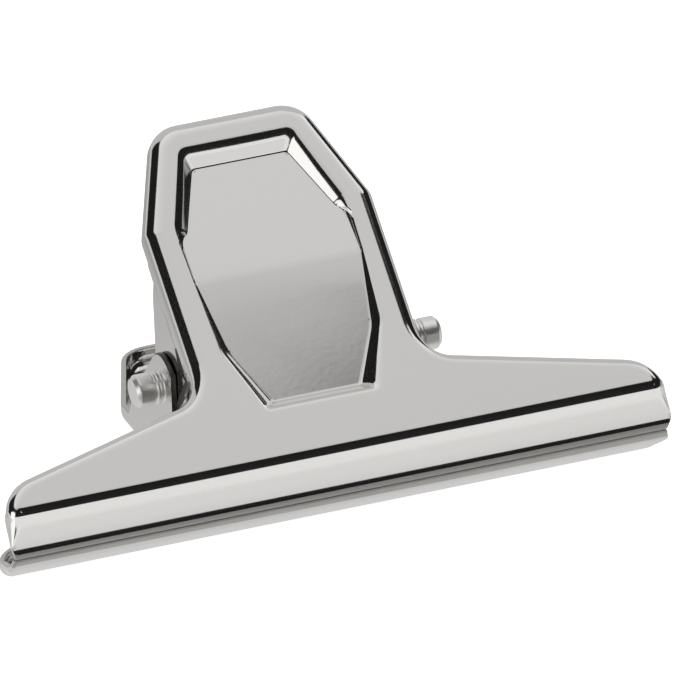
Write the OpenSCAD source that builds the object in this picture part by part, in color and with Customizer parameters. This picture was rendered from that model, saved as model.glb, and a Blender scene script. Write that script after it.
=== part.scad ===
/* [Plates] */
// Width of the jaws along the gripping edge
clip_w = 125; // [90:1:160]
// Width of each handle over its side walls
handle_w = 43.2; // [36:1:50]
// Length of a plate from the jaw crease to the handle's end
plate_h = 67.5; // [58:0.2:75]
// Thickness of the sheet steel
sheet_t = 1; // [0.8:0.05:1.1]
// Tilt of each plate from the middle plane when the jaws are shut
plate_tilt = 20; // [18:0.5:21]
// Depth of the folded side walls, over the outside
wall_depth = 4.6; // [4:0.1:5.5]

/* [Jaws] */
// Distance of the crease's outer face from the middle plane
crease_off = 8.15; // [7.6:0.05:9.4]
// Distance of the lip's outer corner from the middle plane
lip_off = 1.76; // [1.5:0.01:2.4]
// How far the lip stands in front of the crease along the middle plane
lip_reach = 3.99; // [3:0.05:5]
// Height of the shoulders at the neck, above the crease
shoulder_h = 14.9; // [13:0.1:16]
// Height of the shoulders at the jaw's ends, above the crease
shoulder_end_h = 5.2; // [4:0.1:6]

/* [Handle] */
// Height of the handle's widest corners above the crease
corner_h = 47.4; // [42:0.2:50]
// Half the width of the handle's straight end
end_half_w = 13.9; // [11:0.1:16]
// Depth of the pressed recess
recess_depth = 2.6; // [1.4:0.1:3]
// Height of the recess's top edge above the crease
recess_top_h = 62.1; // [58:0.1:63]
// Height of the recess's bottom edge above the crease
recess_base_h = 9.5; // [7:0.2:12]

/* [Pivot] */
// Diameter of the pivot pin
pin_d = 6; // [5.4:0.1:6.4]
// Length of the pivot pin
pin_l = 58; // [54:0.2:62]
// Sideways place of the pin in its ears
pin_shift = 1.8; // [0:0.1:3]
// Height of the pin above the crease, along a plate
pin_h = 25.4; // [24:0.1:27]
// Radius of the ears round the pin
ear_r = 6; // [5.4:0.1:6.6]

/* [Spring] */
// Diameter of the spring wire
wire_d = 1.6; // [1.4:0.1:1.8]
// Mean radius of the coil
coil_r = 4.4; // [4.3:0.1:4.8]
// Number of turns between the two legs
turns = 16; // [14:1:16]
// Distance from one turn to the next
pitch = 2.24; // [2.2:0.02:2.26]

/* [Hidden] */
$fn = 48;

// Fits between the pieces
jaw_gap = 0.1;
ear_gap = 0.15;
bore_gap = 0.05;
leg_gap = 0.25;
weld = 0.02;

// Sizes that follow from the driving ones
half_w = clip_w / 2;
half_handle = handle_w / 2;
pin_r = pin_d / 2;
cut = 4 * sheet_t;
crease_r = 3.2 * sheet_t;
lip_r = 1.2 * sheet_t;
ear_step = sheet_t + ear_gap;
opening_angle = 2 * plate_tilt;

// The pin's axis lies in the middle plane, so its depth under a plate follows
pin_depth = (crease_off + pin_h * sin(plate_tilt) + jaw_gap / 2) / cos(plate_tilt);

// Direction of the lip from the crease, in a plate's own frame
lip_h = -(lip_reach * cos(plate_tilt) + (crease_off - lip_off) * sin(plate_tilt));
lip_depth = (crease_off - lip_off) * cos(plate_tilt) - lip_reach * sin(plate_tilt);
band_l = norm([lip_h, lip_depth]);
band_swell = 0.35;
flange_h = -lip_off * sin(plate_tilt);
flange_depth = lip_off * cos(plate_tilt);
flange_short = 1.2;

// Corner radii of the plate's outline
jaw_corner_r = 6;
neck_r = 5.5;
side_corner_r = 4;
end_corner_r = 7;
recess_corner_r = 1.5;
arc_steps = 6;

function unit(v) = v / norm(v);

// Points of an arc that rounds the corner b between a and c
function corner(a, b, c, r) =
    let (
        u = unit(a - b),
        v = unit(c - b),
        half = acos(u * v) / 2,
        reach = r / tan(half),
        middle = b + unit(u + v) * r / sin(half),
        first = b + u * reach - middle,
        last = b + v * reach - middle
    )
    [for (i = [0:arc_steps]) middle + unit(first * (arc_steps - i) + last * i) * r];

// Outline with each corner rounded by its own radius
function rounded(points, radii) =
    let (n = len(points))
    [for (i = [0:n - 1])
        each (radii[i] == 0
            ? [points[i]]
            : corner(points[(i + n - 1) % n], points[i], points[(i + 1) % n], radii[i]))];

// Closed outline from its right half, listed from the bottom upwards
function both_sides(half) =
    let (n = len(half))
    concat(half, [for (i = [n - 1:-1:0]) [-half[i][0], half[i][1]]]);

// Outline moved inwards by a distance, for points listed anticlockwise
function inset(points, d) =
    let (n = len(points))
    [for (i = [0:n - 1])
        let (
            a = unit(points[i] - points[(i + n - 1) % n]),
            b = unit(points[(i + 1) % n] - points[i]),
            na = [-a[1], a[0]],
            nb = [-b[1], b[0]]
        )
        points[i] + (na + nb) * d / (1 + na * nb)];

// Open line moved to its left by a distance
function beside(points, d) =
    let (n = len(points))
    [for (i = [0:n - 1])
        let (
            a = unit(points[max(i, 1)] - points[max(i, 1) - 1]),
            b = unit(points[min(i + 1, n - 1)] - points[min(i + 1, n - 1) - 1]),
            na = [-a[1], a[0]],
            nb = [-b[1], b[0]]
        )
        points[i] + (na + nb) * d / (1 + na * nb)];

// Half outlines of a plate, of its handle alone and of its recess
jaw_end = [half_w, 2 * lip_h];
jaw_shoulder = [half_w, shoulder_end_h];
neck = [half_handle, shoulder_h];
side_corner = [half_handle, corner_h];
end_corner = [end_half_w, plate_h];

plate_half = [jaw_end, jaw_shoulder, neck, side_corner, end_corner];
plate_radii = [0, jaw_corner_r, neck_r, side_corner_r, end_corner_r];
handle_half = [[half_handle, 0], side_corner, end_corner];
handle_radii = [0, side_corner_r, end_corner_r];

// The recess: how far it lies in from the handle's sides, its narrow ends and its sloping walls
recess_in = 5.7 * sheet_t;
recess_base_w = 0.51 * half_handle;
recess_low_w = 0.71 * half_handle;
recess_top_w = 0.46 * half_handle;
recess_low_h = 0.33 * plate_h;
floor_in = 1.1 * sheet_t;
floor_top_in = 4.8 * sheet_t;
recess_half_w = half_handle - recess_in;
recess_half = [
    [recess_base_w, recess_base_h],
    [recess_low_w, recess_low_h],
    [recess_half_w, corner_h],
    [recess_top_w, recess_top_h]
];
floor_half = [
    [recess_base_w - floor_in, recess_base_h + floor_in],
    [recess_low_w - floor_in, recess_low_h],
    [recess_half_w - floor_in, corner_h - floor_in],
    [recess_top_w - floor_in, recess_top_h - floor_top_in]
];
recess_radii = [for (i = [0:7]) recess_corner_r];

plate_outline = rounded(both_sides(plate_half), concat(plate_radii, [for (i = [4:-1:0]) plate_radii[i]]));
handle_outline = rounded(both_sides(handle_half), concat(handle_radii, [for (i = [2:-1:0]) handle_radii[i]]));
recess_outline = rounded(both_sides(recess_half), recess_radii);
floor_outline = rounded(both_sides(floor_half), recess_radii);

// Section of the sheet from the handle's end over the crease to the lip
crease_bend = corner([plate_h, 0], [0, 0], [lip_h, lip_depth], crease_r);
lip_bend = corner([0, 0], [lip_h, lip_depth], [lip_h + flange_h, lip_depth + flange_depth], lip_r);
band_middle = [lip_h, lip_depth] / 2 + [-lip_depth, -abs(lip_h)] / band_l * band_swell;
section_line = concat(
    [[plate_h, 0]],
    crease_bend,
    [band_middle],
    lip_bend,
    [[lip_h + flange_h, lip_depth + flange_depth]]
);
inner_line = beside(section_line, -sheet_t);
section_outline = concat(section_line, [for (i = [len(inner_line) - 1:-1:0]) inner_line[i]]);

// Foremost point of the front lip, and the shift that puts the origin under the part's middle
lip_points = [for (p = section_line)
    (p[0] - pin_h) * cos(opening_angle) - (pin_depth - p[1]) * sin(opening_angle)];
frame_shift = -(plate_h + pin_h + min(lip_points)) / 2;

// Side view of an ear, from the handle's wall over a slanting flank round the pin to the neck
ear_top_h = corner_h - side_corner_r;
ear_root_h = shoulder_h + neck_r;
flank_h = corner_h - 2 * side_corner_r;
flank_depth = (wall_depth + pin_depth) / 2;
flank_angle = 40;
ear_foot_h = ear_root_h + ear_r / 1.5;
ear_foot_angle = 200;
ear_outline = [
    [ear_top_h, 0],
    [ear_top_h, wall_depth],
    [flank_h, flank_depth],
    [pin_h + ear_r * cos(flank_angle), pin_depth + ear_r * sin(flank_angle)],
    [pin_h, pin_depth],
    [pin_h + ear_r * cos(ear_foot_angle), pin_depth + ear_r * sin(ear_foot_angle)],
    [ear_foot_h, wall_depth],
    [ear_foot_h, 0]
];

// Solid drawn in side view and drawn out across the part
module across(x, width) {
    translate([x, 0, 0]) rotate([90, 0, 90]) linear_extrude(width) children();
}

// One pressed plate lying on its outer face, with the ears moved inwards by a step
module plate(step, bore_r) {
    difference() {
        union() {
            sheet();
            flange();
            walls();
            for (side = [0, 1]) mirror([side, 0, 0]) ear(step);
            recess_shell(recess_outline, floor_outline, sheet_t);
        }
        recess_shell(recess_outline, floor_outline, 0);
        across(-half_w, clip_w) translate([pin_h, pin_depth]) circle(bore_r);
    }
}

module sheet() {
    intersection() {
        across(-half_w, clip_w) polygon(section_outline);
        translate([0, 0, -cut]) linear_extrude(pin_depth + cut) polygon(plate_outline);
    }
}

// Folded edge of the jaw that presses on the paper
module flange() {
    lip = len(section_line) - 1;
    across(-half_w + flange_short, clip_w - 2 * flange_short)
        polygon([section_line[lip - 1], section_line[lip], inner_line[lip], inner_line[lip - 1]]);
}

module walls() {
    intersection() {
        linear_extrude(wall_depth) difference() {
            polygon(handle_outline);
            polygon(inset(handle_outline, sheet_t));
        }
        translate([-half_w, ear_root_h, 0]) cube([clip_w, plate_h, wall_depth]);
    }
}

module ear(step) {
    across(half_handle - sheet_t - step, sheet_t) ear_face();
    if (step > 0) {
        across(half_handle - sheet_t - step, sheet_t + step) ear_root();
    }
}

module ear_face() {
    polygon(ear_outline);
    translate([pin_h, pin_depth]) circle(ear_r);
}

// Strip where a stepped ear joins its wall
module ear_root() {
    polygon([[ear_top_h, 0], [ear_top_h, wall_depth], [ear_foot_h, wall_depth], [ear_foot_h, 0]]);
}

// Pressed pan between two outlines, as the space it takes or with the sheet under it
module recess_shell(edge, floor, thick) {
    low = thick == 0 ? -weld : 0;
    hull() {
        translate([0, 0, low]) linear_extrude(weld) polygon(thick == 0 ? edge : inset(edge, -thick));
        translate([0, 0, recess_depth + thick - weld]) linear_extrude(weld)
            polygon(thick == 0 ? floor : inset(floor, -thick / 2));
    }
}

module rear_plate() {
    color("silver") translate([0, frame_shift, 0]) plate(0, pin_r);
}

module front_plate() {
    color("silver")
        translate([0, frame_shift + pin_h, pin_depth])
            rotate([opening_angle, 0, 0])
                mirror([0, 0, 1])
                    translate([0, -pin_h, -pin_depth])
                        plate(ear_step, pin_r + bore_gap);
}

// Pivot pin with a bevel and two grooves near each end
groove_w = 0.8 * sheet_t;
groove_depth = 0.3 * sheet_t;
groove_in = 4 * sheet_t;
pin_bevel = 0.5 * sheet_t;

module pivot_pin() {
    color("gainsboro")
        translate([pin_shift - pin_l / 2, frame_shift + pin_h, pin_depth])
            rotate([90, 0, 90])
                rotate_extrude() polygon([
                    [0, 0],
                    [pin_r - pin_bevel, 0],
                    [pin_r, pin_bevel],
                    [pin_r, groove_in - groove_w],
                    [pin_r - groove_depth, groove_in - groove_w],
                    [pin_r - groove_depth, groove_in],
                    [pin_r, groove_in],
                    [pin_r, pin_l - groove_in],
                    [pin_r - groove_depth, pin_l - groove_in],
                    [pin_r - groove_depth, pin_l - groove_in + groove_w],
                    [pin_r, pin_l - groove_in + groove_w],
                    [pin_r, pin_l - pin_bevel],
                    [pin_r - pin_bevel, pin_l],
                    [0, pin_l]
                ]);
}

// Centre line of the spring wire: a straight leg, the coil and a second straight leg
ring_steps = 8;
wire_sides = 6;
wire_r = wire_d / 2;
coil_half = turns * pitch / 2;
leg_l = 24;
leg_steps = 6;

// A leg leaves the coil at a tangent and ends on a plate's inner face, beside the recess
leg_rise = pin_depth - sheet_t - wire_r - leg_gap;
rear_leg_angle = atan2(coil_r, leg_l) - asin(leg_rise / norm([coil_r, leg_l]));
front_leg_angle = opening_angle - rear_leg_angle;
rear_dir = [0, cos(rear_leg_angle), sin(rear_leg_angle)];
front_dir = [0, cos(front_leg_angle), sin(front_leg_angle)];
start_angle = rear_leg_angle - 90;
end_angle = front_leg_angle + 90;
sweep = 360 * turns + end_angle - start_angle;
coil_rings = ceil(sweep / 360 * ring_steps);

function coil_point(f) =
    let (a = start_angle - f * (360 * (turns + 1) - (end_angle - start_angle)))
    [coil_half * (2 * f - 1), coil_r * cos(a), coil_r * sin(a)];

wire_line = concat(
    [for (i = [leg_steps:-1:1]) coil_point(0) + rear_dir * leg_l * i / leg_steps],
    [for (i = [0:coil_rings]) coil_point(i / coil_rings)],
    [for (i = [1:leg_steps]) coil_point(1) + front_dir * leg_l * i / leg_steps]
);

least_gap = min([for (i = [0:len(wire_line) - 1], j = [i + ring_steps / 2:len(wire_line) - 1])
    norm(wire_line[i] - wire_line[j])]) - wire_d;
echo("least gap of the spring to itself", least_gap);

function tube_points(line, r) =
    let (n = len(line))
    [for (i = [0:n - 1])
        let (
            t = unit(line[min(i + 1, n - 1)] - line[max(i - 1, 0)]),
            side = unit(cross(t, [1, 0, 0])),
            up = cross(side, t)
        )
        for (k = [0:wire_sides - 1])
            line[i] + (side * cos(360 * k / wire_sides) + up * sin(360 * k / wire_sides)) * r];

function tube_faces(n) = concat(
    [for (i = [0:n - 2], k = [0:wire_sides - 1])
        let (
            a = i * wire_sides + k,
            b = i * wire_sides + (k + 1) % wire_sides
        )
        each [[a, b, b + wire_sides], [a, b + wire_sides, a + wire_sides]]],
    [for (k = [1:wire_sides - 2]) [0, k + 1, k]],
    [for (k = [1:wire_sides - 2]) [(n - 1) * wire_sides, (n - 1) * wire_sides + k, (n - 1) * wire_sides + k + 1]]
);

module torsion_spring() {
    color("gainsboro")
        translate([0, frame_shift + pin_h, pin_depth])
            polyhedron(tube_points(wire_line, wire_r), tube_faces(len(wire_line)));
}

front_plate();
rear_plate();
pivot_pin();
torsion_spring();
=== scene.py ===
"""Looks of a nickel-plated bulldog clip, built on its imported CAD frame."""
import math

import bmesh
import bpy
import numpy as np
from mathutils import Matrix, Vector
from mathutils.geometry import delaunay_2d_cdt


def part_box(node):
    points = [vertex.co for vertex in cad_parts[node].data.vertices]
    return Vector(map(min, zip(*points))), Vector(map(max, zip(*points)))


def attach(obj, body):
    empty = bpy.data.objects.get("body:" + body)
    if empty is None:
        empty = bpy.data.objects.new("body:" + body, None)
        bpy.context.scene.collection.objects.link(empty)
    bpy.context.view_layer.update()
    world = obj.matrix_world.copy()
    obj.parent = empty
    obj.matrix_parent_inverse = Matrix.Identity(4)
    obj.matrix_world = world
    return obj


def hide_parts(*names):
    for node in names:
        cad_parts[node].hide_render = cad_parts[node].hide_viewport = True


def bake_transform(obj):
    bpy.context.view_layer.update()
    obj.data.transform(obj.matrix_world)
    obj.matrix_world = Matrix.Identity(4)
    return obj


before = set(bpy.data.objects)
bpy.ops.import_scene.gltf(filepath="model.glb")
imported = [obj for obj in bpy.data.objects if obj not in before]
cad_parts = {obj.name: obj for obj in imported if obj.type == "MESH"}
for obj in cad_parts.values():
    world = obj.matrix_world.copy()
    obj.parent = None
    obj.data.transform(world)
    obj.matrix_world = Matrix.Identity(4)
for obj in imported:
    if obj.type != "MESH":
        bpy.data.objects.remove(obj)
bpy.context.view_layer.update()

MM = 0.001

# The photograph's camera: angles in degrees, scale in pixels for a millimetre
AZIMUTH = -20.39
ELEVATION = 26.33
ROLL = -1.94
PIXELS_PER_MM = 5.683
IMAGE_SIZE = 680
CREASE_PIXEL = (339.8, 447.9)
LENS = 1200.0
SENSOR = 36.0
CLIP_SHARE = 10

# Driving sizes of the clip in millimetres, as in its construction
CLIP_W = 125.0
HANDLE_W = 43.2
PLATE_H = 67.5
SHEET_T = 1.0
PLATE_TILT = math.radians(20)
CREASE_OFF = 8.15
LIP_OFF = 1.76
LIP_REACH = 3.99
JAW_GAP = 0.1
SHOULDER_H = 14.9
SHOULDER_END_H = 5.2
CORNER_H = 47.4
END_HALF_W = 13.9
WALL_DEPTH = 4.6
PIN_H = 25.4
EAR_R = 6.0
EAR_STEP = 1.15

HALF_W = CLIP_W / 2
HALF_HANDLE = HANDLE_W / 2
PIN_BOX = [np.array(corner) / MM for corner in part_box("pivot_pin")]
PIN_AXIS = (PIN_BOX[0] + PIN_BOX[1])[1:] / 2
PIN_R = (PIN_BOX[1][2] - PIN_BOX[0][2]) / 2
PIN_DEPTH = PIN_AXIS[1]
OPENING = 2 * PLATE_TILT


def rear_place(points):
    """Points of a plate lying on its outer face, as (across, height, depth), in the clip's frame."""
    x, u, d = np.asarray(points, dtype=float).T
    return np.stack([x, u - PIN_H + PIN_AXIS[0], d], axis=1)


def front_place(points):
    """The same for the front plate: mirrored, then turned about the pin."""
    x, u, d = np.asarray(points, dtype=float).T
    a, b = u - PIN_H, PIN_DEPTH - d
    y = a * math.cos(OPENING) - b * math.sin(OPENING) + PIN_AXIS[0]
    z = a * math.sin(OPENING) + b * math.cos(OPENING) + PIN_AXIS[1]
    return np.stack([x, y, z], axis=1)


def make_camera():
    """Camera at the photograph's angle, placed so that the crease's middle falls on its pixel."""
    a, e, roll = (math.radians(v) for v in (AZIMUTH, ELEVATION, ROLL))
    back = Vector((math.sin(a) * math.cos(e), -math.cos(a) * math.cos(e), math.sin(e)))
    level = Vector((math.cos(a), math.sin(a), 0))
    upright = back.cross(level)
    right = level * math.cos(roll) + upright * math.sin(roll)
    up = upright * math.cos(roll) - level * math.sin(roll)
    crease = Vector(front_place([[0, 0, 0]])[0]) * MM
    pixel = MM / PIXELS_PER_MM
    middle = IMAGE_SIZE / 2
    target = crease + right * (middle - CREASE_PIXEL[0]) * pixel
    target = target - up * (middle - CREASE_PIXEL[1]) * pixel
    distance = IMAGE_SIZE * pixel * LENS / SENSOR
    camera = bpy.data.objects.new("camera", bpy.data.cameras.new("camera"))
    bpy.context.scene.collection.objects.link(camera)
    camera.data.lens = LENS
    camera.data.sensor_width = SENSOR
    camera.data.clip_start = distance / CLIP_SHARE
    camera.data.clip_end = distance * CLIP_SHARE
    turn = Matrix((right, up, back)).transposed().to_4x4()
    camera.matrix_world = Matrix.Translation(target + back * distance) @ turn
    bpy.context.scene.camera = camera


# Outlines

# Steps of a rounded corner, the least distances that count, and how far a mitre may reach
CORNER_STEPS = 8
NEAR = 1e-4
SAME = 1e-6
TINY = 1e-12
MITRE_LEAST = 0.5


def unit(v):
    """Vector of length 1 in the same direction."""
    return v / np.linalg.norm(v)


def round_corner(a, b, c, radius, steps):
    """Points of the arc that rounds the corner b between a and c."""
    u, v = unit(a - b), unit(c - b)
    half = math.acos(np.clip(u @ v, -1, 1)) / 2
    centre = b + unit(u + v) * radius / math.sin(half)
    first = b + u * radius / math.tan(half) - centre
    last = b + v * radius / math.tan(half) - centre
    turn = math.atan2(first[0] * last[1] - first[1] * last[0], first @ last)
    points = []
    for i in range(steps + 1):
        t = turn * i / steps
        points.append(centre + np.array([first[0] * math.cos(t) - first[1] * math.sin(t),
                                         first[0] * math.sin(t) + first[1] * math.cos(t)]))
    return points


def half_outline(corners):
    """Right half of an outline from its bottom to its top. Each corner is (x, s, radius)."""
    points = [np.array(c[:2], dtype=float) for c in corners]
    line = [points[0]]
    for i in range(1, len(points) - 1):
        radius = corners[i][2]
        if radius:
            line += round_corner(points[i - 1], points[i], points[i + 1], radius, CORNER_STEPS)
        else:
            line.append(points[i])
    line.append(points[-1])
    return np.array(line)


def split_long(line, longest):
    """The same line with no edge longer than a length."""
    out = [line[0]]
    for a, b in zip(line[:-1], line[1:]):
        count = max(1, math.ceil(np.linalg.norm(b - a) / longest))
        out += [a + (b - a) * k / count for k in range(1, count + 1)]
    return np.array(out)


def split_at(line, heights):
    """The same line with a point wherever it crosses one of the heights."""
    out = [line[0]]
    for a, b in zip(line[:-1], line[1:]):
        low, high = sorted((a[1], b[1]))
        cuts = [h for h in heights if low + NEAR < h < high - NEAR]
        cuts.sort(reverse=bool(a[1] > b[1]))
        out += [a + (b - a) * (h - a[1]) / (b[1] - a[1]) for h in cuts]
        out.append(b)
    return np.array(out)


def closed(half):
    """Closed outline, anticlockwise, from its right half listed from bottom to top on x = 0."""
    left = half[::-1][1:-1] * [-1, 1]
    return np.concatenate([half, left])


def inward(loop):
    """Unit normals that point into an anticlockwise loop."""
    before = loop - np.roll(loop, 1, axis=0)
    after = np.roll(loop, -1, axis=0) - loop
    before /= np.linalg.norm(before, axis=1)[:, None]
    after /= np.linalg.norm(after, axis=1)[:, None]
    mean = before + after
    mean /= np.linalg.norm(mean, axis=1)[:, None]
    normals = np.stack([-mean[:, 1], mean[:, 0]], axis=1)
    flat = np.stack([-after[:, 1], after[:, 0]], axis=1)
    return normals / np.maximum(MITRE_LEAST, (normals * flat).sum(axis=1))[:, None]


def inside(points, loop):
    """For each point, whether it lies inside the loop."""
    x, y = points[:, 0][:, None], points[:, 1][:, None]
    ax, ay = loop[:, 0], loop[:, 1]
    bx, by = np.roll(ax, -1), np.roll(ay, -1)
    crosses = (ay > y) != (by > y)
    at = ax + (y - ay) * (bx - ax) / np.where(by == ay, TINY, by - ay)
    return (crosses & (x < at)).sum(axis=1) % 2 == 1


# The jaw's section, as the sheet's path from the handle over the crease to the lip

# Radii of its bends, the band's slight swell as a turn, and the angle of the folded lip
CREASE_R = 3.9
LIP_R = 1.9
BAND_TURN = math.radians(8)
FLANGE_ANGLE = math.pi / 2 - PLATE_TILT
SECTION_STEP = 0.05


def section():
    """Arc length, place and direction of the section, from the flat plate (0) towards the lip (negative)."""
    lip_h = -(LIP_REACH * math.cos(PLATE_TILT) + (CREASE_OFF - LIP_OFF) * math.sin(PLATE_TILT))
    lip_d = (CREASE_OFF - LIP_OFF) * math.cos(PLATE_TILT) - LIP_REACH * math.sin(PLATE_TILT)
    slope = math.atan2(lip_d, -lip_h)
    start_turn = slope - BAND_TURN / 2
    lip_turn = FLANGE_ANGLE - slope - BAND_TURN / 2
    band_l = math.hypot(lip_h, lip_d) - CREASE_R * math.tan(slope / 2)
    band_l = band_l - LIP_R * math.tan((FLANGE_ANGLE - slope) / 2)
    pieces = [(CREASE_R * start_turn, start_turn), (band_l, BAND_TURN), (LIP_R * lip_turn, lip_turn)]
    s, u, d, angle = [0.0], [CREASE_R * math.tan(slope / 2)], [0.0], [0.0]
    for length, turn in pieces:
        count = math.ceil(length / SECTION_STEP)
        for _ in range(count):
            middle = angle[-1] + turn / count / 2
            u.append(u[-1] - length / count * math.cos(middle))
            d.append(d[-1] + length / count * math.sin(middle))
            s.append(s[-1] - length / count)
            angle.append(angle[-1] + turn / count)
    inner = CREASE_OFF - JAW_GAP / 2 - (d[-1] * math.cos(PLATE_TILT) - u[-1] * math.sin(PLATE_TILT))
    s.append(s[-1] - inner)
    u.append(u[-1] - inner * math.cos(FLANGE_ANGLE))
    d.append(d[-1] + inner * math.sin(FLANGE_ANGLE))
    angle.append(FLANGE_ANGLE)
    bends = [0.0, -pieces[0][0], -pieces[0][0] - pieces[1][0], s[-2], s[-1]]
    return np.array(s)[::-1], np.array(u)[::-1], np.array(d)[::-1], np.array(angle)[::-1], bends


SECTION_S, SECTION_U, SECTION_D, SECTION_A, BENDS = section()
FLAT_U = SECTION_U[-1]
LIP_S = BENDS[2]
END_S = BENDS[4]


def fold(x, s, depth):
    """Flat pattern (across, along, depth under the outer face) to a plate's own (across, height, depth)."""
    below = np.minimum(s, 0)
    u = np.interp(below, SECTION_S, SECTION_U)
    d = np.interp(below, SECTION_S, SECTION_D)
    angle = np.interp(below, SECTION_S, SECTION_A)
    u = u + np.maximum(s, 0)
    return np.stack([x, u + depth * np.sin(angle), d + depth * np.cos(angle)], axis=1)


def along(u):
    """Where a height above the crease lies in the flat pattern."""
    return u - FLAT_U


# A plate's outline with the depth of its rim and wall at each point

# Radii of the rim on the handle, the shoulders and the lip, and the sheet's cut edge
RIM_R = 3.1
SHOULDER_RIM = 2.2
SHOULDER_WALL = 2.9
LIP_RIM = 0.3
EDGE_R = 0.3
RIM_STEPS = 12
WALL_STEPS = 10
EDGE_STEPS = 3
INNER_STEPS = 5
FLANGE_SHORT = 0.8
FLAT_STRIP = 0.25

# Corners of the jaw's end: how far they lie in or up, and the outline's radii
FLANGE_CORNER_R = 0.6
BAND_END_IN = 0.1
BAND_END_UP = 0.6
BAND_END_R = 2.5
JAW_END_IN = 0.5
JAW_END_R = 7.5
NECK_R = 5.5
SIDE_CORNER_R = 4.0
END_CORNER_R = 6.4
END_TRIM = 0.01

# Lines across the sheet that keep its bends even
LINE_STEP = 0.4
LINES_TO = 0.3
LINES_BELOW_CORNER = 2
LONGEST_EDGE = 2.5

# Where the wall's depth rises, as (start, length), above the shoulder and from the lip
HANDLE_RISE = (1, 5)
LIP_RISE = (0.5, 6.0)

# The ear: where its flank leaves the round, and how near the handle's side its points lie
FLANK_ANGLE = math.radians(40)
SIDE_SLACK = 0.02


def plate_outline():
    """Right half of a plate's outline in the flat pattern."""
    corners = [
        (0, END_S, 0),
        (HALF_W - FLANGE_SHORT, END_S, FLANGE_CORNER_R),
        (HALF_W - BAND_END_IN, LIP_S + BAND_END_UP, BAND_END_R),
        (HALF_W - JAW_END_IN, along(SHOULDER_END_H), JAW_END_R),
        (HALF_HANDLE, along(SHOULDER_H), NECK_R),
        (HALF_HANDLE, along(CORNER_H), SIDE_CORNER_R),
        (END_HALF_W, along(PLATE_H - END_TRIM), END_CORNER_R),
        (0, along(PLATE_H - END_TRIM), 0),
    ]
    lines = list(np.arange(END_S + LINE_STEP, LINES_TO, LINE_STEP)) + BENDS[:4]
    lines += list(np.arange(along(SHOULDER_H + NECK_R), along(CORNER_H - LINES_BELOW_CORNER), LINE_STEP))
    return split_long(split_at(half_outline(corners), lines), LONGEST_EDGE)


def smooth(t):
    """Even rise from 0 to 1."""
    t = np.clip(t, 0, 1)
    return t * t * (3 - 2 * t)


def wall_profile(half):
    """Depth of the free edge, radius of the rim and place on an ear at each point of the half outline."""
    u = half[:, 1] + FLAT_U
    on_handle = smooth((u - SHOULDER_H - HANDLE_RISE[0]) / HANDLE_RISE[1])
    near_lip = smooth((half[:, 1] - LIP_S + LIP_RISE[0]) / LIP_RISE[1])
    depth = SHOULDER_WALL + (WALL_DEPTH - SHOULDER_WALL) * on_handle
    depth = SHEET_T + (depth - SHEET_T) * near_lip
    rim = SHOULDER_RIM + (RIM_R - SHOULDER_RIM) * on_handle
    rim = LIP_RIM + (rim - LIP_RIM) * near_lip
    root = SHOULDER_H + NECK_R
    top = CORNER_H - SIDE_CORNER_R
    flank_u = [PIN_H + EAR_R * math.cos(FLANK_ANGLE), CORNER_H - 2 * SIDE_CORNER_R, top]
    flank_d = [PIN_DEPTH + EAR_R * math.sin(FLANK_ANGLE), (WALL_DEPTH + PIN_DEPTH) / 2, WALL_DEPTH]
    round_u = np.clip(u - PIN_H, -EAR_R, EAR_R)
    ear = PIN_DEPTH + np.sqrt(np.maximum(EAR_R ** 2 - round_u ** 2, 0))
    ear = np.where(u > flank_u[0], np.interp(u, flank_u, flank_d), ear)
    on_ear = (half[:, 0] > HALF_HANDLE - SIDE_SLACK) & (u > root) & (u < top)
    depth = np.where(on_ear, np.maximum(ear, depth), depth)
    return depth, rim, near_lip, on_ear


def rim_section(depth, rim, near_lip):
    """Rows of (inset, depth) from the flat face round the rim, over the free edge and back up inside."""
    rows = [(rim + FLAT_STRIP, 0 * rim, False)]
    for k in range(RIM_STEPS + 1):
        t = math.pi / 2 * k / RIM_STEPS
        rows.append((rim * (1 - math.sin(t)), rim * (1 - math.cos(t)), False))
    for k in range(1, WALL_STEPS + 1):
        rows.append((0 * rim, rim + (depth - EDGE_R - rim) * k / WALL_STEPS, False))
    for k in range(1, EDGE_STEPS + 1):
        t = math.pi / 2 * k / EDGE_STEPS
        rows.append((EDGE_R * (1 - math.cos(t)) + 0 * rim, depth - EDGE_R * (1 - math.sin(t)), True))
    inner_r = EDGE_R * near_lip
    for k in range(EDGE_STEPS + 1):
        t = math.pi / 2 * k / EDGE_STEPS
        rows.append((SHEET_T - inner_r * (1 - math.sin(t)), depth - inner_r * (1 - math.cos(t)), True))
    centre = np.maximum(rim, SHEET_T)
    low = depth - inner_r
    for k in range(1, INNER_STEPS + 1):
        rows.append((SHEET_T + 0 * rim, low + (np.minimum(centre, low) - low) * k / INNER_STEPS, False))
    radius = centre - SHEET_T
    for k in range(1, INNER_STEPS + 1):
        t = math.pi / 2 * k / INNER_STEPS
        rows.append((centre - radius * math.cos(t), centre - radius * math.sin(t), False))
    rows.append((centre + FLAT_STRIP, SHEET_T + 0 * rim, False))
    return rows


def lofted(rows):
    """Quads between rings that hold the same number of points."""
    faces = []
    n = len(rows[0])
    for a, b in zip(rows[:-1], rows[1:]):
        for i in range(n):
            j = (i + 1) % n
            faces.append((a[i], a[j], b[j], b[i]))
    return faces


# The recess: heights above the crease and depths of its floor
RIDGE_U = 36.3
RIDGE_HALF = 0.8
RIDGE_DEPTH = 0.45
TOP_DEPTH = 2.3
BASE_DEPTH = 2.4
FLOOR_TOP_U = 58.3
FLOOR_BASE_U = 12.2
RECESS_TOP_U = 62.3
RECESS_BASE_U = 9.3
RECESS_SIDE = HALF_HANDLE - 5.1

# Its wall: share and length that the rounded edge takes, and the rounded foot's share by height
EDGE_SHARE = 0.62
EDGE_L = 2.2
FOOT_U = (30, 44)
FOOT_SHARES = (0.2, 0.1)
ARC_STEPS = 6

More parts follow.
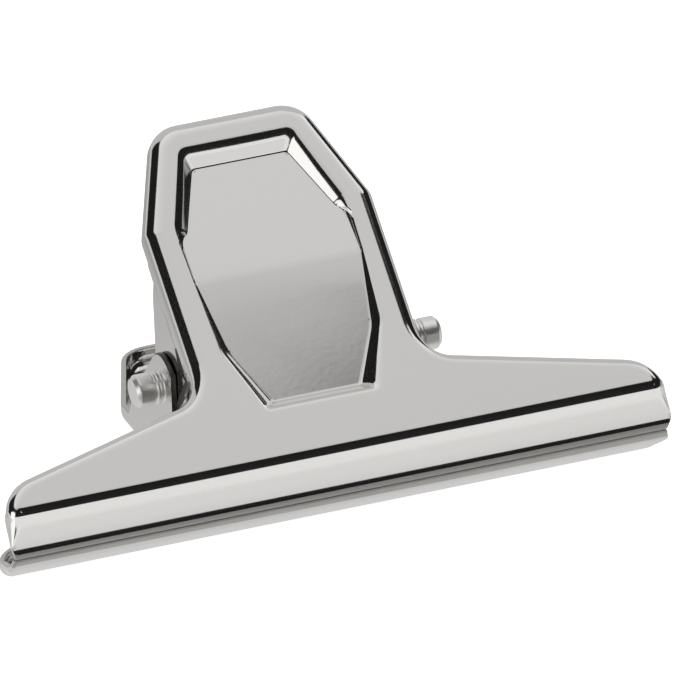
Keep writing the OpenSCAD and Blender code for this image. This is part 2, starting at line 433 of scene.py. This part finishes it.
# Where the ridge's two fold lines lie in the flat pattern
RIDGE_S = (along(RIDGE_U - RIDGE_HALF), along(RIDGE_U + RIDGE_HALF))

# Corners of its edge and its floor from the base to the top, as (across, height, radius), in pairs
RECESS_EDGE = (
    (0, RECESS_BASE_U, 0),
    (11.1, RECESS_BASE_U, 1.6),
    (RECESS_SIDE - 1.0, 22.0, 7),
    (RECESS_SIDE - 0.4, RIDGE_U, 0),
    (RECESS_SIDE - 0.2, 42.0, 2.0),
    (RECESS_SIDE, 47.4, 2.5),
    (11.0, RECESS_TOP_U, 2.0),
    (0, RECESS_TOP_U, 0),
)
RECESS_FLOOR = (
    (0, FLOOR_BASE_U, 0),
    (8.1, FLOOR_BASE_U, 1.0),
    (RECESS_SIDE - 3.1, 22.6, 7),
    (RECESS_SIDE - 0.9, RIDGE_U, 0),
    (RECESS_SIDE - 1.1, 45.0, 1.0),
    (RECESS_SIDE - 2.7, 46.2, 1.5),
    (8.9, FLOOR_TOP_U, 1.0),
    (0, FLOOR_TOP_U, 0),
)


def floor_depth(s):
    """Depth of the recess's floor: shallow at a ridge across it, deepening both ways."""
    heights = [FLOOR_BASE_U, RIDGE_U - RIDGE_HALF, RIDGE_U + RIDGE_HALF, FLOOR_TOP_U]
    return np.interp(np.asarray(s) + FLAT_U, heights, [BASE_DEPTH, RIDGE_DEPTH, RIDGE_DEPTH, TOP_DEPTH])


def recess_loop(corners):
    """Closed outline of the recess's edge or floor in the flat pattern, with each edge halved."""
    half = split_at(half_outline([(x, along(u), r) for x, u, r in corners]), RIDGE_S)
    dense = []
    for a, b in zip(half[:-1], half[1:]):
        dense += [a, (a + b) / 2]
    dense.append(half[-1])
    return closed(np.array(dense))


def recess_rings(edge, floor):
    """Rings of the recess from its outer edge to its floor, as (points, depth)."""
    length = np.linalg.norm(floor - edge, axis=1)
    top = np.minimum(EDGE_SHARE, EDGE_L / length)
    foot = np.interp(floor[:, 1] + FLAT_U, FOOT_U, FOOT_SHARES)
    wall = 1 - top - foot
    slope = 1 / (wall + (top + foot) / 2)
    rows = []
    for k in range(ARC_STEPS + 1):
        t = k / ARC_STEPS
        rows.append((top * t, slope * top * t * t / 2))
    for k in (0.5, 1):
        rows.append((top + wall * k, slope * (top / 2 + wall * k)))
    for k in range(1, ARC_STEPS + 1):
        t = 1 - k / ARC_STEPS
        rows.append((1 - foot * t, 1 - slope * foot * t * t / 2))
    depth = floor_depth(floor[:, 1])
    return [(edge + (floor - edge) * a[:, None], depth * b) for a, b in rows]


class Surface:
    """Vertices in the flat pattern with their depth, the faces between them, and which are cut edges."""

    def __init__(self):
        self.x, self.s, self.d, self.faces, self.cut = [], [], [], [], []

    def add(self, points, depth):
        """Vertex numbers of new points at a depth."""
        first = len(self.x)
        self.x += list(points[:, 0])
        self.s += list(points[:, 1])
        self.d += list(np.broadcast_to(depth, len(points)))
        return list(range(first, len(self.x)))

    def fill(self, outer, holes, lines, depth_at):
        """Flat area between an outer ring and holes, given as vertex numbers, with fold lines across it."""
        used = list(outer)
        for hole in holes:
            used += hole
        place = {v: i for i, v in enumerate(used)}
        verts = [Vector((self.x[v], self.s[v])) for v in used]
        edges = []
        for ring in [outer] + holes:
            edges += [(place[a], place[b]) for a, b in zip(ring, ring[1:] + ring[:1])]
        edges += [(place[a], place[b]) for a, b in lines]
        result = delaunay_2d_cdt(verts, edges, [], 0, SAME)
        points = np.array([v[:] for v in result[0]])
        number = []
        for i, origin in enumerate(result[3]):
            if origin:
                number.append(used[origin[0]])
            else:
                number += self.add(points[i:i + 1], depth_at(points[i][1]))
        loop = np.array([[self.x[v], self.s[v]] for v in outer])
        faces = np.array([f for f in result[2] if len(f) == 3])
        middle = points[faces].mean(axis=1)
        keep = inside(middle, loop)
        for hole in holes:
            keep &= ~inside(middle, np.array([[self.x[v], self.s[v]] for v in hole]))
        self.faces += [tuple(number[i] for i in f) for f in faces[keep]]


def mirror_half(values):
    """Values at a half outline's points, continued over its mirrored half."""
    return np.concatenate([values, values[::-1][1:-1]])


def face_sheet(surface, ring, lines, level, flip):
    """One face of the sheet inside its rim, with the recess, at a depth under the outer face."""
    edge, floor = recess_loop(RECESS_EDGE), recess_loop(RECESS_FLOOR)
    outside = surface.add(edge - inward(edge) * FLAT_STRIP, level)
    rings = [surface.add(points, d + level) for points, d in recess_rings(edge, floor)]
    inmost = floor + inward(floor) * FLAT_STRIP
    bottom = surface.add(inmost, floor_depth(inmost[:, 1]) + level)
    number = len(floor)
    ridge_lines = [(bottom[i], bottom[number - i]) for i in range(1, number // 2)
                   if min(abs(floor[i][1] - h) for h in RIDGE_S) < SAME]
    first = len(surface.faces)
    surface.faces += lofted([outside] + rings + [bottom])
    surface.fill(ring, [outside], lines, lambda s: level)
    surface.fill(bottom, [], ridge_lines, lambda s: floor_depth(s) + level)
    if flip:
        surface.faces[first:] = [f[::-1] for f in surface.faces[first:]]


# Kinds of face, in the order of a plate's materials
FLAT_KIND, CUT_KIND, LIP_KIND, EAR_SHADE_KIND = range(4)

# Where an ear steps inwards under its wall, and from where its cut edge is painted near black, as painted
# shade for the dark gap between the stacked ears
STEP_FROM = 0.2
STEP_RUN = 2.0
EAR_SHADE_FROM = 4

# Fold lines across the jaw start at its steep end, below the flat plate
JAW_END_W = 4
BEND_TOP = 0.05
STEEP = 0.8


def plate_surface(step):
    """Closed skin of a plate, with its ears moved inwards by a step, and each face's material."""
    surface = Surface()
    half = plate_outline()
    depth, rim, near_lip, on_ear = (mirror_half(v) for v in wall_profile(half))
    loop = closed(half)
    normal = inward(loop)
    rows, cut = [], []
    for inset, low, is_cut in rim_section(depth, rim, near_lip):
        points = loop + normal * inset[:, None]
        shift = np.where(on_ear, step * smooth((low - WALL_DEPTH - STEP_FROM) / STEP_RUN), 0)
        points[:, 0] -= np.sign(loop[:, 0]) * shift
        rows.append(surface.add(points, low))
        cut.append(is_cut)
    for a, b, is_cut in zip(rows[:-1], rows[1:], cut[1:]):
        faces = lofted([a, b])
        if is_cut:
            surface.cut += range(len(surface.faces), len(surface.faces) + len(faces))
        surface.faces += faces
    total = len(loop)
    for ring, level, flip in ((rows[0], 0.0, False), (rows[-1], SHEET_T, True)):
        lines = [(ring[i], ring[total - i]) for i in range(1, len(half) - 1)
                 if surface.s[ring[i]] < BEND_TOP and loop[i][0] > HALF_W - JAW_END_W
                 and abs(normal[i][1]) < STEEP]
        face_sheet(surface, ring, lines, level, flip)
    x, s, d = (np.array(v) for v in (surface.x, surface.s, surface.d))
    # Faces below the lip's fold take the lip material, rougher as worn and darker as painted shade
    kinds = [LIP_KIND if s[list(f)].mean() < BENDS[3] else FLAT_KIND for f in surface.faces]
    for i in surface.cut:
        corners = list(surface.faces[i])
        # Deep cut edges on the ears round the pin get the near-black painted shade of the gap between the
        # ears
        deep = d[corners].mean() > WALL_DEPTH + EAR_SHADE_FROM
        kinds[i] = EAR_SHADE_KIND if deep and s[corners].mean() < along(PIN_H + EAR_R) else CUT_KIND
    return fold(x, s, d), surface.faces, kinds


def add_object(name, points, faces):
    """New mesh object in the scene, from points in metres."""
    mesh = bpy.data.meshes.new(name)
    mesh.from_pydata(points, [], faces)
    obj = bpy.data.objects.new(name, mesh)
    bpy.context.scene.collection.objects.link(obj)
    return obj


MERGE = 1e-7
FULL_WEIGHT = 100


def make_plate(name, step, place):
    """Shell of a plate, with its ears moved inwards by a step."""
    points, faces, kinds = plate_surface(step)
    obj = add_object(name, [Vector(p) * MM for p in place(points)], faces)
    for material in (PLATED, CUT_EDGE, WORN_AND_SHADED_LIP, EAR_EDGE_SHADE):
        obj.data.materials.append(material)
    shape = bmesh.new()
    shape.from_mesh(obj.data)
    for face, kind in zip(shape.faces, kinds):
        face.material_index = kind
        face.smooth = True
    bmesh.ops.remove_doubles(shape, verts=shape.verts, dist=MERGE)
    bmesh.ops.recalc_face_normals(shape, faces=shape.faces)
    shape.to_mesh(obj.data)
    shape.free()
    weighted = obj.modifiers.new("normals", "WEIGHTED_NORMAL")
    weighted.keep_sharp = True
    weighted.weight = FULL_WEIGHT
    return obj


# Materials

# Noise as (scale, detail) and bumps as (strength, height)
GRAIN = (900, 5)
WAVE = (60, 2)
GRAIN_HEIGHT = 0.00002
WAVE_BUMP = (0.08, 0.00006)
ROUGH_SPREAD = (0.8, 1.25)


def add_noise(tree, vector, scale, detail):
    """Output of a new noise texture."""
    noise = tree.nodes.new("ShaderNodeTexNoise")
    noise.inputs["Scale"].default_value = scale
    noise.inputs["Detail"].default_value = detail
    tree.links.new(vector, noise.inputs["Vector"])
    return noise.outputs["Fac"]


def add_bump(tree, height, strength, distance):
    """New bump node that reads a height."""
    bump = tree.nodes.new("ShaderNodeBump")
    bump.inputs["Strength"].default_value = strength
    bump.inputs["Distance"].default_value = distance
    tree.links.new(height, bump.inputs["Height"])
    return bump


def metal(name, colour, roughness, grain_strength, stretch=(1, 1, 1)):
    """Plated or drawn steel with a fine grain, stretched along one axis, and slow waves."""
    material = bpy.data.materials.new(name)
    material.use_nodes = True
    tree = material.node_tree
    shader = tree.nodes["Principled BSDF"]
    shader.inputs["Base Color"].default_value = (*colour, 1)
    shader.inputs["Metallic"].default_value = 1
    place = tree.nodes.new("ShaderNodeTexCoord").outputs["Object"]
    scale = tree.nodes.new("ShaderNodeMapping")
    scale.inputs["Scale"].default_value = stretch
    tree.links.new(place, scale.inputs["Vector"])
    grain = add_noise(tree, scale.outputs["Vector"], *GRAIN)
    wave = add_noise(tree, place, *WAVE)
    ramp = tree.nodes.new("ShaderNodeMapRange")
    ramp.inputs["To Min"].default_value = roughness * ROUGH_SPREAD[0]
    ramp.inputs["To Max"].default_value = roughness * ROUGH_SPREAD[1]
    tree.links.new(wave, ramp.inputs["Value"])
    tree.links.new(ramp.outputs["Result"], shader.inputs["Roughness"])
    fine = add_bump(tree, grain, grain_strength, GRAIN_HEIGHT)
    slow = add_bump(tree, wave, *WAVE_BUMP)
    tree.links.new(slow.outputs["Normal"], fine.inputs["Normal"])
    tree.links.new(fine.outputs["Normal"], shader.inputs["Normal"])
    return material


# Name, colour, roughness and strength of the grain
PLATED = metal("plated_steel", (0.77, 0.76, 0.742), 0.1, 0.12)
CUT_EDGE = metal("cut_edge", (0.6, 0.59, 0.57), 0.2, 0.4)
# The ear edge's near-black colour is painted shade, standing in for the shadow and dark reflection in the
# gap between the ears
EAR_EDGE_SHADE = metal("ear_edge_painted_shade", (0.09, 0.088, 0.085), 0.35, 0.5)
# The lip is rougher and duller as worn, and its darker colour is painted shade for the shaded floor that it
# mirrors
WORN_AND_SHADED_LIP = metal("worn_lip_and_painted_shade", (0.6, 0.585, 0.56), 0.42, 0.6)
TURNED = metal("turned_pin", (0.92, 0.91, 0.89), 0.36, 1.0, (5, 0.1, 0.1))
WIRE = metal("spring_wire", (0.7, 0.69, 0.67), 0.18, 0.3)


# Pieces

def make_plates():
    """Both plates, each on its own half of the clip."""
    front = make_plate("front_plate_shell", EAR_STEP, front_place)
    rear = make_plate("rear_plate_shell", 0.0, rear_place)
    for plate, body, cad in ((front, "front_half", "front_plate"), (rear, "rear_half", "rear_plate")):
        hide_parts(cad)
        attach(plate, body)


def ring_object(name, rings):
    """Quads between rings of points in millimetres, with a flat cap at each end."""
    sides = len(rings[0])
    rows = [range(i * sides, (i + 1) * sides) for i in range(len(rings))]
    faces = lofted(rows) + [tuple(rows[0][::-1]), tuple(rows[-1])]
    return add_object(name, [Vector(p) * MM for ring in rings for p in ring], faces)


# The pin: its bevels and the grooves near each end
PIN_SIDES = 64
PIN_L = PIN_BOX[1][0] - PIN_BOX[0][0]
BEVEL = 0.7
BEVEL_START = 0.05
BEVEL_END = (0.15, 0.04)
GROOVES = (3.2, 4.5)
GROOVE_W = 0.8
GROOVE_D = 0.3
GROOVE_R = 0.15
GROOVE_LIP = 0.05


def pin_profile():
    """(distance, radius) pairs of the pin: bevels at the ends and two grooves near each."""
    half = [
        (0, PIN_R - BEVEL),
        (BEVEL_START, PIN_R - BEVEL + BEVEL_START),
        (BEVEL, PIN_R - BEVEL_END[1]),
        (BEVEL + BEVEL_END[0], PIN_R),
    ]
    for low in GROOVES:
        high = low + GROOVE_W
        half += [
            (low, PIN_R),
            (low + GROOVE_R / 3, PIN_R - GROOVE_LIP),
            (low + GROOVE_R, PIN_R - GROOVE_D),
            (high - GROOVE_R, PIN_R - GROOVE_D),
            (high - GROOVE_R / 3, PIN_R - GROOVE_LIP),
            (high, PIN_R),
        ]
    return half + [(PIN_L - x, r) for x, r in reversed(half)]


def make_pin():
    """Turned pin along X, through all four ears."""
    turns = [2 * math.pi * k / PIN_SIDES for k in range(PIN_SIDES)]
    rings = []
    for x, r in pin_profile():
        rings.append([(PIN_BOX[0][0] + x, PIN_AXIS[0] + r * math.cos(t), PIN_AXIS[1] + r * math.sin(t))
                      for t in turns])
    pin = ring_object("pivot_pin_turned", rings)
    for face in pin.data.polygons:
        face.use_smooth = True
    pin.modifiers.new("normals", "WEIGHTED_NORMAL").keep_sharp = True
    pin.data.materials.append(TURNED)
    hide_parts("pivot_pin")
    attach(pin, "rear_half")


# The spring: a tangent leg, the coil and a second leg
WIRE_R = 0.8
WIRE_SIDES = 16
END_R_SHARE = 0.75
END_STEP_SHARE = 0.25
COIL_R = 4.4
TURNS = 16
TURN_STEPS = 28
PITCH = 2.24
LEG_L = 24.0
LEG_STEPS = 8
LEG_GAP = 0.25
COIL_HALF = TURNS * PITCH / 2
LEG_RISE = PIN_DEPTH - SHEET_T - WIRE_R - LEG_GAP
REAR_LEG = math.atan2(COIL_R, LEG_L) - math.asin(LEG_RISE / math.hypot(COIL_R, LEG_L))
FRONT_LEG = OPENING - REAR_LEG
COIL_START = REAR_LEG - math.pi / 2
COIL_SWEEP = 2 * math.pi * (TURNS + 1) - (FRONT_LEG + math.pi / 2 - COIL_START)


def coil_point(f):
    """Point of the coil's centre line from the rear leg (0) to the front leg (1)."""
    a = COIL_START - f * COIL_SWEEP
    return np.array([COIL_HALF * (2 * f - 1), COIL_R * math.cos(a), COIL_R * math.sin(a)])


def spring_line():
    """Centre line of the wire, from the end of the rear leg to the end of the front one."""
    rear_dir = np.array([0, math.cos(REAR_LEG), math.sin(REAR_LEG)])
    front_dir = np.array([0, math.cos(FRONT_LEG), math.sin(FRONT_LEG)])
    count = TURNS * TURN_STEPS
    line = [coil_point(0) + rear_dir * LEG_L * k / LEG_STEPS for k in range(LEG_STEPS, 0, -1)]
    line += [coil_point(i / count) for i in range(count + 1)]
    line += [coil_point(1) + front_dir * LEG_L * k / LEG_STEPS for k in range(1, LEG_STEPS + 1)]
    return np.array(line) + [0, *PIN_AXIS]


def tube_rings(line):
    """Rings of the wire round its centre line, with a small bevel at both ends."""
    ahead = np.roll(line, -1, axis=0) - line
    ahead[-1] = ahead[-2]
    behind = line - np.roll(line, 1, axis=0)
    behind[0] = behind[1]
    tangent = ahead + behind
    tangent /= np.linalg.norm(tangent, axis=1)[:, None]
    side = np.cross(tangent, [1, 0, 0])
    side /= np.linalg.norm(side, axis=1)[:, None]
    up = np.cross(side, tangent)
    turns = [2 * math.pi * k / WIRE_SIDES for k in range(WIRE_SIDES)]
    last = len(line) - 1
    places = [(0, WIRE_R * END_R_SHARE, -1)] + [(i, WIRE_R, 0) for i in range(last + 1)]
    places.append((last, WIRE_R * END_R_SHARE, 1))
    rings = []
    for i, r, outward in places:
        middle = line[i] + tangent[i] * WIRE_R * END_STEP_SHARE * outward
        rings.append([middle + (side[i] * math.cos(t) + up[i] * math.sin(t)) * r for t in turns])
    return rings


def make_spring():
    """Wire of the torsion spring: its coil round the pin and a leg towards each plate, set in place."""
    spring = ring_object("torsion_spring_wire", tube_rings(spring_line()))
    for face in spring.data.polygons:
        face.use_smooth = len(face.vertices) == 4
    spring.data.materials.append(WIRE)
    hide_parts("torsion_spring")
    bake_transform(spring)


# Floor, light and the cards that the metal mirrors

FLOOR_LIFT = 0.6
FLOOR_SPAN = (-6.0, 6.0)
FLOOR_WHITE = 0.97
FLOOR_ROUGHNESS = 0.9
FLOOR_GLOSS = 0.1


def make_world():
    """Plain white light from all sides."""
    world = bpy.data.worlds.new("studio")
    bpy.context.scene.world = world
    world.use_nodes = True
    background = world.node_tree.nodes["Background"]
    background.inputs["Color"].default_value = (1, 1, 1, 1)
    background.inputs["Strength"].default_value = 1.0


def floor_material():
    """White floor, lighter to the camera and in mirrors, so that only its deeper shadows show."""
    material = bpy.data.materials.new("floor_white")
    material.use_nodes = True
    tree = material.node_tree
    shader = tree.nodes["Principled BSDF"]
    shader.inputs["Base Color"].default_value = (FLOOR_WHITE, FLOOR_WHITE, FLOOR_WHITE, 1)
    shader.inputs["Roughness"].default_value = FLOOR_ROUGHNESS
    shader.inputs["Specular IOR Level"].default_value = FLOOR_GLOSS
    path = tree.nodes.new("ShaderNodeLightPath")
    seen = path.outputs["Is Camera Ray"]
    for ray in ("Is Glossy Ray", "Is Transmission Ray"):
        either = tree.nodes.new("ShaderNodeMath")
        either.operation = "MAXIMUM"
        tree.links.new(seen, either.inputs[0])
        tree.links.new(path.outputs[ray], either.inputs[1])
        seen = either.outputs[0]
    lift = tree.nodes.new("ShaderNodeMath")
    lift.operation = "MULTIPLY"
    lift.inputs[1].default_value = FLOOR_LIFT
    tree.links.new(seen, lift.inputs[0])
    shader.inputs["Emission Color"].default_value = (1, 1, 1, 1)
    tree.links.new(lift.outputs[0], shader.inputs["Emission Strength"])
    return material


def add_quad(name, x, y, level, material):
    """Flat sheet between two places along X and two along Y, in metres."""
    corners = [(x[0], y[0], level), (x[1], y[0], level), (x[1], y[1], level), (x[0], y[1], level)]
    obj = add_object(name, corners, [(0, 1, 2, 3)])
    obj.data.materials.append(material)
    return obj


def make_floor():
    """Wide white floor that the clip lies on."""
    add_quad("floor", FLOOR_SPAN, FLOOR_SPAN, 0, floor_material())


CARD_DISTANCE = 1.5
CARD_STEP = 3.0
CARD_ROWS = 6

# The black ring that draws the dark lines: its edges as (azimuths, elevations), and its glow
RING_AZIMUTHS = (125, 397)
RING_LOW = ((365, 380, 397), (12, 6, 9))
RING_HIGH = ((345, 351, 358, 374, 391, 397), (57, 47, 41, 38, 30, 22))
DARK = 0.012

# Even cards: name, glow, azimuths, lower and upper edge, share of the distance
CARDS = (
    ("side", 0.42, (336, 382), -0.2, 14, 1.05),
    ("window", 1.25, (186, 228), 0, 34, 0.95),
    ("back", 0.6, (26, 125), 8, 62, 1.1),
    ("front", 0.95, (230, 330), -0.2, 20, 1.15),
    ("horizon", 0.7, (0, 360), -0.3, 26, 1.2),
)

# The sky over all of them, graded from the front to the back
SKY_FRONT = 0.56
SKY_BACK = 1.04
SKY_EDGES = (48, 89.9)
SKY_SHARE = 1.3
ALL_ROUND = (0, 360)


def card_material(name, front_level, back_level):
    """Even or graded glow, from the front of the studio to its back."""
    material = bpy.data.materials.new(name)
    material.use_nodes = True
    tree = material.node_tree
    tree.nodes.clear()
    place = tree.nodes.new("ShaderNodeTexCoord")
    parts = tree.nodes.new("ShaderNodeSeparateXYZ")
    level = tree.nodes.new("ShaderNodeMapRange")
    level.inputs["From Min"].default_value = -CARD_DISTANCE
    level.inputs["From Max"].default_value = CARD_DISTANCE
    level.inputs["To Min"].default_value = front_level
    level.inputs["To Max"].default_value = back_level
    glow = tree.nodes.new("ShaderNodeEmission")
    out = tree.nodes.new("ShaderNodeOutputMaterial")
    tree.links.new(place.outputs["Object"], parts.inputs["Vector"])
    tree.links.new(parts.outputs["Y"], level.inputs["Value"])
    tree.links.new(level.outputs["Result"], glow.inputs["Strength"])
    tree.links.new(glow.outputs["Emission"], out.inputs["Surface"])
    return material


def direction(azimuth, elevation):
    """Unit vector from the clip: azimuth in degrees from +X towards +Y, elevation above the floor."""
    a, e = math.radians(azimuth), math.radians(elevation)
    return math.cos(a) * math.cos(e), math.sin(a) * math.cos(e), math.sin(e)


def hide_from_all_but_mirrors(obj):
    """Stage piece that only shows in the metal."""
    obj.visible_camera = False
    obj.visible_diffuse = False
    obj.visible_shadow = False
    obj.visible_transmission = False


def card(name, azimuths, low, high, material, share=1):
    """Card bent round the clip that only reflections see; low and high are (azimuths, elevations)."""
    count = math.ceil((azimuths[1] - azimuths[0]) / CARD_STEP)
    row = CARD_ROWS + 1
    points = []
    for i in range(count + 1):
        a = azimuths[0] + (azimuths[1] - azimuths[0]) * i / count
        for e in np.linspace(np.interp(a, *low), np.interp(a, *high), row):
            points.append(tuple(CARD_DISTANCE * share * v for v in direction(a, e)))
    faces = [(row * i + k, row * i + row + k, row * i + row + 1 + k, row * i + 1 + k)
             for i in range(count) for k in range(CARD_ROWS)]
    obj = add_object(name, points, faces)
    obj.data.materials.append(material)
    hide_from_all_but_mirrors(obj)


def level_edge(elevation):
    """Edge of a card at one elevation."""
    return (0,), (elevation,)


def make_cards():
    """The ring, the even cards and the sky."""
    card("ring", RING_AZIMUTHS, RING_LOW, RING_HIGH, card_material("card_dark", DARK, DARK))
    for name, level, azimuths, low, high, share in CARDS:
        material = card_material(f"card_{name}", level, level)
        card(name, azimuths, level_edge(low), level_edge(high), material, share)
    sky = card_material("card_sky", SKY_FRONT, SKY_BACK)
    card("sky", ALL_ROUND, level_edge(SKY_EDGES[0]), level_edge(SKY_EDGES[1]), sky, SKY_SHARE)


# The ground that mirrors see: a grey sheet, and a dark strip in front of the jaws that is painted shade for
# the clip's contact shadow there
GROUND_FRONT = 0.84
GROUND_BACK = 0.42
GROUND_FADE = 0.12
GROUND_SPAN = (-1.4, 1.4)
GROUND_LEVEL = 0.00005
SHADOW_STRIP_X = (-0.09, 0.09)
SHADOW_STRIP_Y = (-0.062, -0.040)


def make_ground():
    """Grey sheet, and a dark strip of painted contact shadow, just over the floor, that only reflections
    see.
    """
    ground = card_material("card_ground", GROUND_FRONT, GROUND_BACK)
    fade = ground.node_tree.nodes["Map Range"]
    fade.inputs["From Min"].default_value = -GROUND_FADE
    fade.inputs["From Max"].default_value = GROUND_FADE
    dark = bpy.data.materials["card_dark"]
    hide_from_all_but_mirrors(add_quad("ground_card", GROUND_SPAN, GROUND_SPAN, GROUND_LEVEL, ground))
    # The dark strip is painted shadow: it darkens the metal's reflection where the clip's contact shadow
    # would lie
    hide_from_all_but_mirrors(add_quad("ground_painted_shadow_strip", SHADOW_STRIP_X, SHADOW_STRIP_Y, 2 * GROUND_LEVEL, dark))


make_camera()
make_plates()
make_pin()
make_spring()
make_world()
make_floor()
make_cards()
make_ground()
bpy.context.scene.view_settings.view_transform = "Standard"
